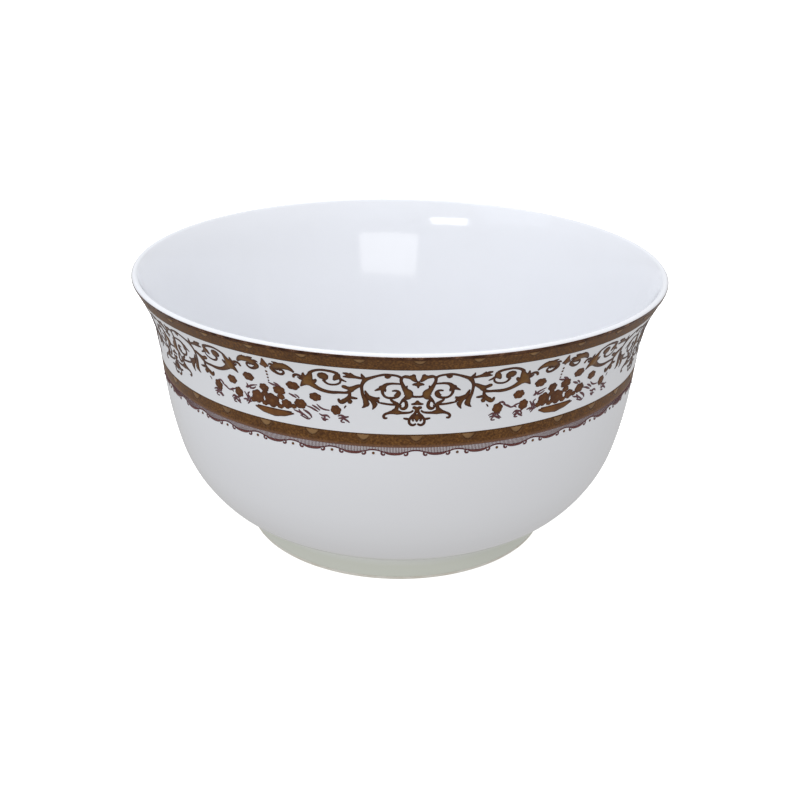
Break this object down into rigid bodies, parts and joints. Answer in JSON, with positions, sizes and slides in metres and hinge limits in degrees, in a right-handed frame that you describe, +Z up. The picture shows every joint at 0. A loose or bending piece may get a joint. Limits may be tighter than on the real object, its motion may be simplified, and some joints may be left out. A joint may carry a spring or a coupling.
{
  "type": "serving bowl",
  "caption": "Round porcelain serving bowl with a flared thin lip, turned foot ring, gilt lip line and brown scroll and flower frieze.",
  "frame": {"origin": "centre of the foot ring's resting face", "axes": "+Z up along the bowl's axis of revolution; -Y through the middle of one scroll cartouche"},
  "size_m": [0.2006, 0.2006, 0.1047],
  "materials": {
    "porcelain": "unglazed fired porcelain",
    "glaze": "clear gloss glaze over white porcelain",
    "gilding": "burnished gilt line",
    "brown_gilding": "brown gold, fired and glossy",
    "scroll_enamel": "fired brown enamel",
    "flower_enamel": "fired red-brown enamel",
    "lace_enamel": "fired purple-brown line enamel"
  },
  "bodies": {
    "root": {"porcelain_body": "porcelain", "glaze_coat": "glaze", "gilt_lip_line": "gilding", "upper_border_band": "brown_gilding", "lower_border_band": "brown_gilding", "scroll_cartouches": "scroll_enamel", "acanthus_scrolls": "scroll_enamel", "flower_sprays": "flower_enamel", "lace_fringe": "lace_enamel"}
  },
  "joints": []
}
